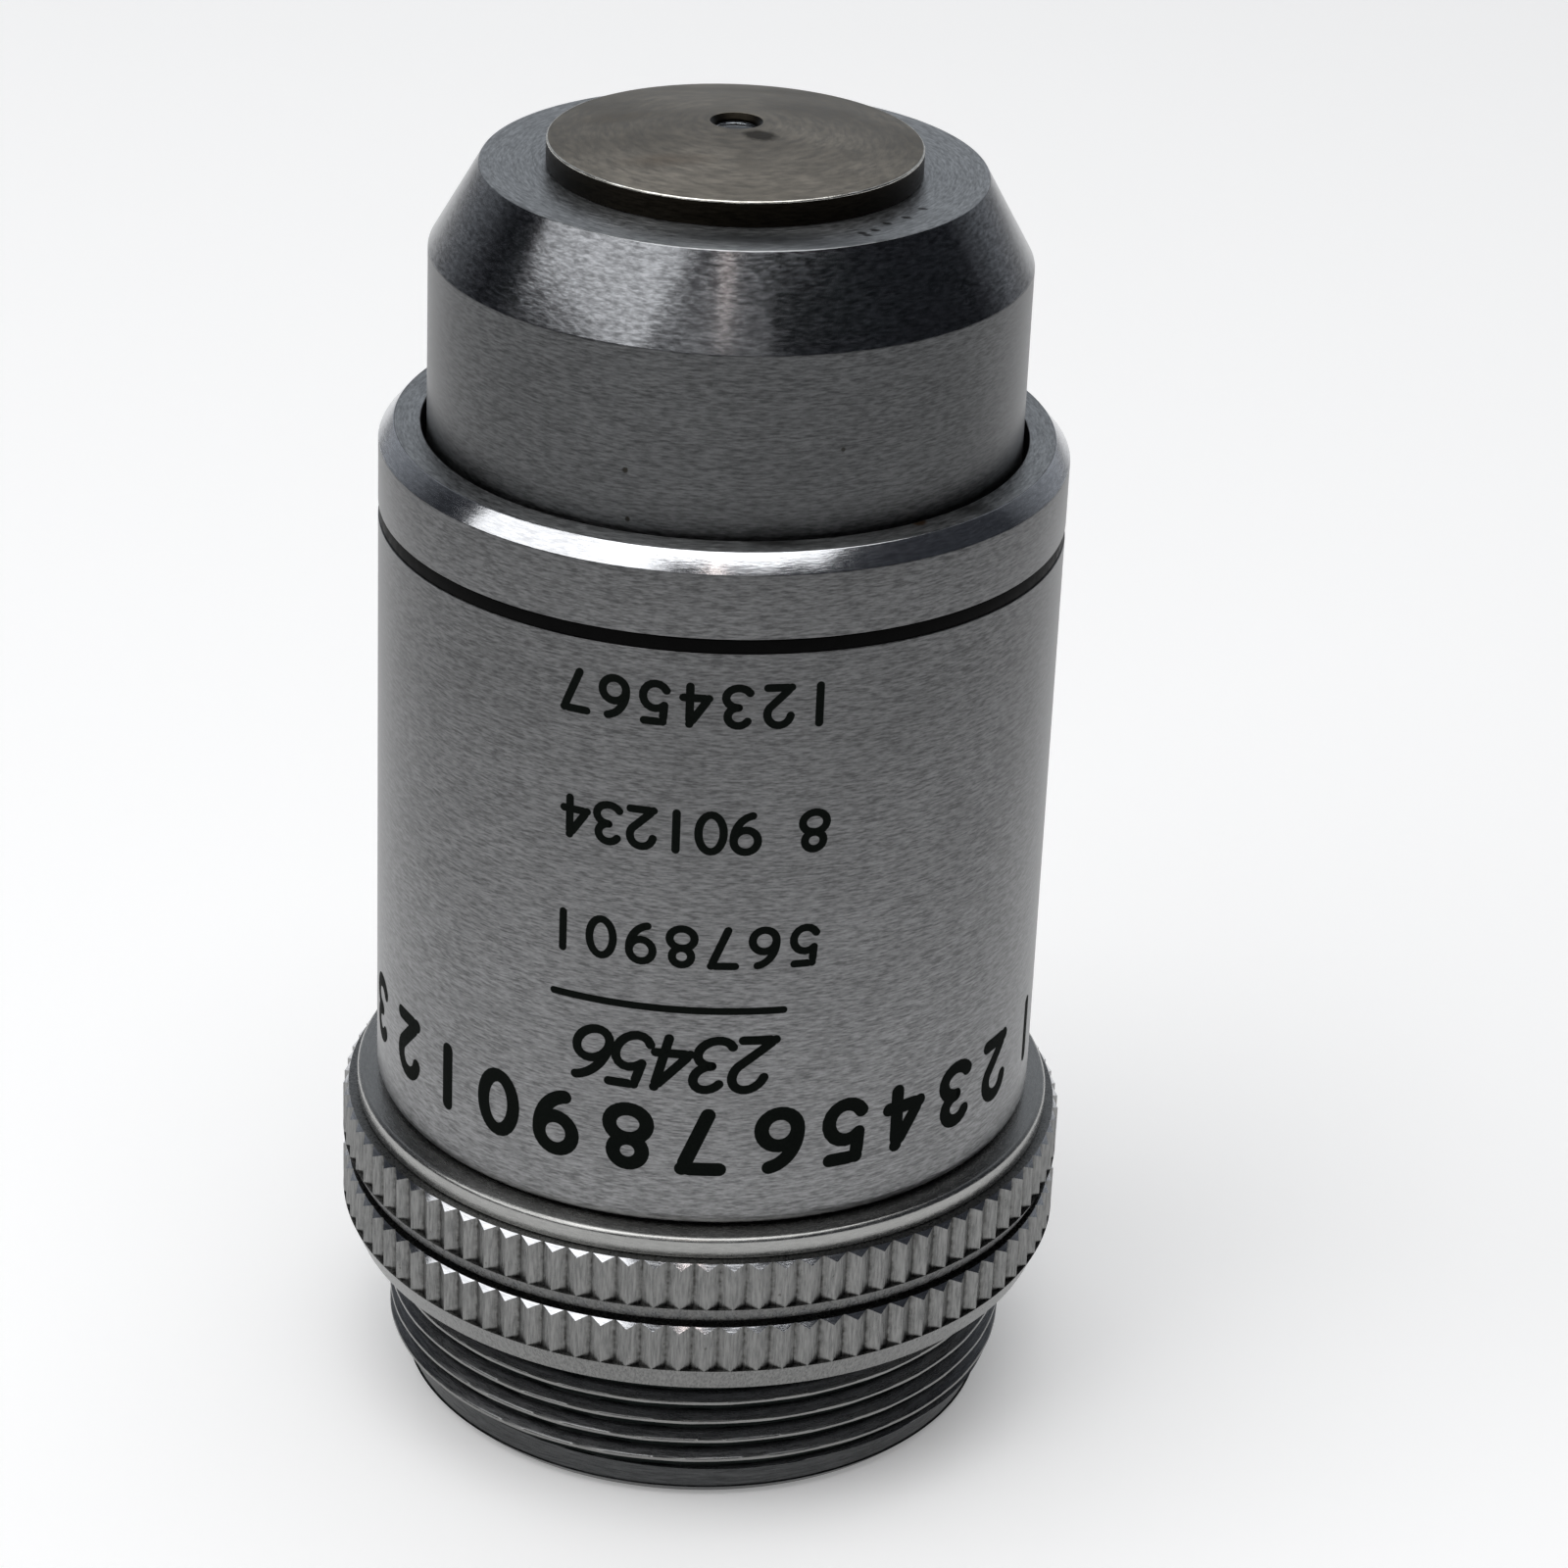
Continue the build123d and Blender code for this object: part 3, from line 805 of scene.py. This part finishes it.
def nose_shell():
    """The stepped nose with its polished cone and pitted face."""
    outline = [
        (nose_bore_r, nose_flange_foot),
        (piston_r, nose_flange_foot),
        (piston_r, lip_foot_z),
        (nose_r, lip_foot_z),
        (nose_r, nose_cone_foot),
        (nose_face_r, nose_face),
        (shank_fit_r, nose_face),
        (shank_fit_r, nose_shoulder),
        (nose_bore_r, nose_shoulder),
    ]
    # The side of the nose has the darker chrome with painted shade.
    obj = turned_piece("nose_shell", "nose", outline, nose_edge, nose_shaded_satin, "nose_sleeve")
    cone_top = nose_face - test_margin
    finish_part(obj, polished, lambda r, z: nose_face_r < r and nose_cone_foot < z < cone_top)
    finish_part(obj, nose_top, lambda r, z: z > cone_top)


def disc_outline():
    """The disc with its cone and countersunk window, and the hollow shank behind."""
    window_z = tip_z - (tip_r - window_r)
    outline = soften(
        [
            (shank_bore_r, shank_foot),
            (shank_r, shank_foot),
            (shank_r, nose_face),
            (disc_r, nose_face),
            (disc_r, disc_top),
            (tip_r, tip_z),
            (window_r, window_z),
        ],
        disc_edge,
    )
    for step in range(1, arc_steps + 1):
        z = window_z + (pocket_centre - window_z) * step / arc_steps
        outline.append((sqrt(pocket_r**2 - (z - pocket_centre) ** 2), z))
    outline.append((pocket_r, pocket_centre - pocket_grip))
    return outline


def front_disc():
    """The tarnished disc at the tip, greasy on its side and in its window, with a painted highlight
    on its rim.
    """
    obj = piece("front_disc", *turned(disc_outline()), "nose", nickel, "front_cell")
    rim_z = disc_top - disc_rim_drop
    finish_part(obj, disc_side, lambda r, z: r < tip_r or r > shank_r and z < rim_z)
    # The rim gets the painted highlight.
    finish_part(obj, disc_rim, lambda r, z: r > disc_r - disc_rim_width and z > rim_z)


# Spring

def coil_spring():
    """A coil of round wire, ground flat at both ends."""
    steps = round(spring_turns * steps_per_turn)
    mean_r = spring_r - spring_wire_r
    vertices = []
    for i in range(steps + 1):
        angle = 2 * pi * i / steps_per_turn
        middle = spring_foot + (spring_top - spring_foot) * i / steps
        for k in range(wire_sides):
            turn = 2 * pi * k / wire_sides
            r = mean_r + spring_wire_r * cos(turn)
            z = min(max(middle + spring_wire_r * sin(turn), spring_foot), spring_top)
            vertices.append((r * cos(angle), r * sin(angle), z))
    start = tuple(range(wire_sides))
    faces = [start, tuple(steps * wire_sides + k for k in start)[::-1]]
    for i in range(steps):
        a, b = i * wire_sides, (i + 1) * wire_sides
        for k in range(wire_sides):
            m = (k + 1) % wire_sides
            faces.append((a + k, b + k, b + m, a + m))
    obj = piece("coil_spring", vertices, faces, "barrel", steel, "compression_spring")
    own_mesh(obj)


# Painted digits, drawn flat in mm as strokes: distance around the barrel from -Y, and height

def bow(centre, reach, start, end, steps=14):
    """Points along part of an ellipse, angles in degrees."""
    points = []
    for step in range(steps + 1):
        angle = radians(start + (end - start) * step / steps)
        points.append((centre[0] + reach[0] * cos(angle), centre[1] + reach[1] * sin(angle)))
    return points


def upturned(strokes):
    """A glyph turned by half a turn in its box."""
    return [[(glyph_width - x, 1 - y) for x, y in stroke] for stroke in strokes]


def glyphs():
    """The strokes of each digit, in a box one high."""
    mid = glyph_middle
    six = [bow((mid, 0.30), (0.30, 0.30), 0, 360, 24), bow((0.56, 0.34), (0.55, 0.66), 180, 100)]
    return {
        "0": [bow((mid, 0.5), (mid, 0.5), 0, 360, 28)],
        "1": [[(mid, 0), (mid, 1)]],
        "2": [bow((mid, 0.70), (0.29, 0.30), 170, -35) + [(0.02, 0), (0.60, 0)]],
        "3": [bow((0.29, 0.76), (0.26, 0.24), 150, -90), bow((0.29, 0.26), (mid, 0.26), 90, -150)],
        "4": [[(0.46, 0), (0.46, 1), (0.0, 0.30), (glyph_width, 0.30)]],
        "5": [[(0.56, 1), (0.10, 1), (0.07, 0.56)] + bow((0.29, 0.33), (mid, 0.33), 130, -150)],
        "6": six,
        "7": [[(0.0, 1), (0.60, 1), (0.20, 0)]],
        "8": [
            bow((mid, 0.77), (0.24, 0.23), 0, 360, 24),
            bow((mid, 0.27), (mid, 0.27), 0, 360, 24),
        ],
        "9": upturned(six),
    }


digit_strokes = glyphs()


def around(angle):
    """Distance around the barrel for an angle in degrees."""
    return radians(angle) * barrel_r


def dense(points, step):
    """Adds points to long runs."""
    result = [Vector(points[0])]
    for point in points[1:]:
        start, end = result[-1], Vector(point)
        count = max(1, round((end - start).length / step))
        result += [start.lerp(end, i / count) for i in range(1, count + 1)]
    return result


def bends(points):
    """The ends of an open stroke and its sharp corners, which get a round spot."""
    points = [Vector(point) for point in points]
    is_closed = (points[0] - points[-1]).length < weld_gap
    found = [] if is_closed else [points[0], points[-1]]
    for before, here, after in zip(points, points[1:], points[2:]):
        if (here - before).angle(after - here, 0.0) > radians(sharp_bend):
            found.append(here)
    return found


def ribbon(points, width, vertices, faces):
    """Adds a stroke with round ends to the lists."""
    half = width / 2
    path = dense(points, width / 2)
    is_closed = (path[0] - path[-1]).length < weld_gap
    last = len(path) - 1
    for index, point in enumerate(path):
        before = path[index - 1] if index else path[last - 1] if is_closed else point
        after = path[index + 1] if index < last else path[1] if is_closed else point
        ahead = (after - before).normalized()
        side = Vector((-ahead.y, ahead.x)) * half
        vertices += [point - side, point, point + side]
    first = len(vertices) - 3 * len(path)
    for i in range(len(path) - 1):
        a = first + 3 * i
        faces += [(a, a + 3, a + 4, a + 1), (a + 1, a + 4, a + 5, a + 2)]
    for point in bends(points):
        start = len(vertices)
        for k in range(stroke_end_sides):
            angle = 2 * pi * k / stroke_end_sides
            vertices.append(point + Vector((cos(angle), sin(angle))) * half)
        faces.append(tuple(range(start, start + stroke_end_sides)))


def digit_row(text, angles, foot_z, height, stroke, slant=0.0):
    """A row of digits, upside down; the angles are those of their middles, from the right."""
    vertices, faces = [], []
    span = height - stroke
    for digit, angle in zip(text, angles):
        for strokes in digit_strokes.get(digit, []):
            drawn = []
            for x, y in strokes:
                along = (x - glyph_middle + slant * (y - 0.5)) * span
                drawn.append((around(angle) - along, foot_z + stroke / 2 + (1 - y) * span))
            ribbon(drawn, stroke, vertices, faces)
    return vertices, faces


def painted(name, vertices, faces):
    """Wraps flat strokes round the barrel."""
    radius = barrel_r + paint_lift
    wrapped = []
    for u, z in vertices:
        turn = u / barrel_r
        wrapped.append((radius * sin(turn), -radius * cos(turn), z))
    piece(name, wrapped, faces, "barrel", paint_black)


def spread(text, start, end):
    """Even angles for the characters of a row, between its first and last edge."""
    cell = (end - start) / len(text)
    return [start + cell * (index + 0.5) for index in range(len(text))]


def small_digits():
    """Three rows of small digits."""
    for number, (text, foot_z, start, end) in enumerate(small_rows, 1):
        angles = spread(text, start, end)
        row = digit_row(text, angles, foot_z, small_height, small_stroke)
        painted(f"digits_small_{number}", *row)


def middle_digits():
    """A row of slanted digits under the rule."""
    text, foot_z, start, end = middle_row
    angles = spread(text, start, end)
    row = digit_row(text, angles, foot_z, middle_height, middle_stroke, middle_slant)
    painted("digits_middle", *row)


def large_row():
    """The large digits around the foot of the barrel."""
    row = digit_row(large_digits, large_angles, large_z, large_height, large_stroke)
    painted("digits_large", *row)


def rule():
    """A plain line between the rows."""
    vertices, faces = [], []
    ribbon([(around(angle), rule_z) for angle in rule_angles], rule_stroke, vertices, faces)
    painted("rule", vertices, faces)


# Stage, light and camera

def make_floor():
    """A plain pale floor, lit a little more where it is seen or mirrored."""
    mesh = bpy.data.meshes.new("floor")
    corners = [(-1, -1, 0), (1, -1, 0), (1, 1, 0), (-1, 1, 0)]
    mesh.from_pydata([Vector(c) * floor_half * MM for c in corners], [], [(0, 1, 2, 3)])
    floor = bpy.data.objects.new("floor", mesh)
    scene.collection.objects.link(floor)
    tree = Surface("floor_pale")
    soft = tree.noise(tree.place, 0.01)
    path = tree.add("ShaderNodeLightPath", {}).outputs
    seen = tree.math("MAXIMUM", path["Is Camera Ray"], path["Is Glossy Ray"])
    seen = tree.math("MAXIMUM", seen, path["Is Transmission Ray"])
    tree.set(
        Specular_IOR_Level=0.2,
        Emission_Color=(1.0, 1.0, 1.0, 1.0),
        Emission_Strength=tree.math("MULTIPLY", seen, floor_glow),
    )
    color = tree.mix(soft, (0.86, 0.86, 0.86), (0.88, 0.88, 0.88))
    mesh.materials.append(tree.finish(color, 0.8))


def make_world():
    """Dim above and dark on the -Y side; the camera itself sees a pale backdrop."""
    world = bpy.data.worlds.new("studio")
    scene.world = world
    world.use_nodes = True
    tree = Tree(world.node_tree)
    direction = tree.split(tree.add("ShaderNodeTexCoord", {}).outputs["Generated"])
    side = tree.between(direction[1], 0.35, 0.85)
    above = tree.mix(side, (0.035, 0.038, 0.045), (0.36, 0.38, 0.41))
    height = tree.between(direction[2], -0.05, 0.10)
    surroundings = tree.mix(height, (0.30, 0.30, 0.31), above)
    is_seen = tree.add("ShaderNodeLightPath", {}).outputs["Is Camera Ray"]
    light = tree.nodes["Background"]
    tree.feed(light, "Color", tree.mix(is_seen, surroundings, (0.92, 0.92, 0.93)))
    tree.feed(light, "Strength", 1.0)


def softbox(name, azimuth, elevation, distance, size, radiance, color=(1.0, 1.0, 1.0)):
    """A rectangular lamp aimed at the objective, sizes in metres.

    Azimuth 0 is the -Y side, and positive angles lie towards +X.
    """
    data = bpy.data.lights.new(name, "AREA")
    data.shape = "RECTANGLE"
    data.size, data.size_y = size
    data.energy = radiance * pi * size[0] * size[1]
    data.color = color
    lamp = bpy.data.objects.new(name, data)
    scene.collection.objects.link(lamp)
    turn, lift = radians(azimuth), radians(elevation)
    outward = Vector((sin(turn) * cos(lift), -cos(turn) * cos(lift), sin(lift)))
    lamp.location = Vector((0, 0, lamp_target_z * MM)) + outward * distance
    lamp.rotation_mode = "QUATERNION"
    lamp.rotation_quaternion = (-outward).to_track_quat("-Z", "Y")


def make_lamps():
    """A large key from the left, weaker ones in front and above, and a narrow warm streak."""
    softbox("key", -64, 45, 0.50, (0.50, 0.27), 1.85)
    softbox("fill", -4, 34, 0.50, (0.30, 0.20), 0.45)
    softbox("overhead", 0, 88, 0.55, (0.55, 0.55), 2.2)
    softbox("bank", -14, 66, 0.50, (0.38, 0.15), 1.3)
    softbox("streak", -2, 50, 0.50, (0.012, 0.22), 4.5, (1.0, 0.86, 0.80))


def make_camera():
    """The main viewpoint."""
    pitch, yaw, roll = (radians(a) for a in (camera_pitch, camera_yaw, camera_roll))
    forward = Vector((sin(yaw) * cos(pitch), cos(yaw) * cos(pitch), -sin(pitch)))
    level = Vector((cos(yaw), -sin(yaw), 0))
    above = level.cross(forward)
    right = level * cos(roll) + above * sin(roll)
    up = above * cos(roll) - level * sin(roll)
    data = bpy.data.cameras.new("camera")
    data.sensor_width = sensor_width
    data.lens = focal_px / frame_px * sensor_width
    data.clip_start = camera_clip * MM
    camera = bpy.data.objects.new("camera", data)
    scene.collection.objects.link(camera)
    turn = Matrix((right, up, -forward)).transposed()
    place = Matrix.Translation((0, -camera_distance * MM, camera_height * MM))
    camera.matrix_world = place @ turn.to_4x4()
    scene.camera = camera


mount_flange()
knurled_band()
mount_thread()
lip_collar()
barrel_shell()
enamel_band()
nose_shell()
front_disc()
coil_spring()
small_digits()
middle_digits()
large_row()
rule()
make_floor()
make_world()
make_lamps()
make_camera()
